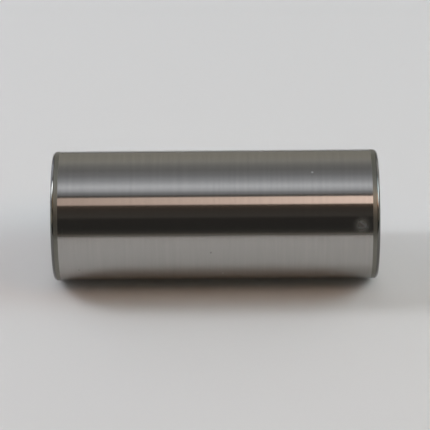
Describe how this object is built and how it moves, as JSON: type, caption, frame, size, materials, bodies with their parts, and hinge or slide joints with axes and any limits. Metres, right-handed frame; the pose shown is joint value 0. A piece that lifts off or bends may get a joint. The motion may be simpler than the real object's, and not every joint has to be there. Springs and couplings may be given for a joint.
{
  "type": "crank pin",
  "caption": "Solid ground steel crank pin with a short lead-in taper and a rounded corner at each end, pressed between crank webs to carry the connecting rod's bearing.",
  "frame": {"origin": "middle of the bottom end face, with the pin standing on that end", "axes": "+Z along the pin's axis, from the bottom end face to the top end face; X and Y are free, because the pin is round"},
  "size_m": [0.02, 0.02, 0.05],
  "materials": {
    "ground_steel": "hardened steel, ground and superfinished on the land, dull grey from hardening on the lead-in tapers, ground on the end faces"
  },
  "bodies": {
    "root": {"crank_pin": "ground_steel"}
  },
  "joints": []
}
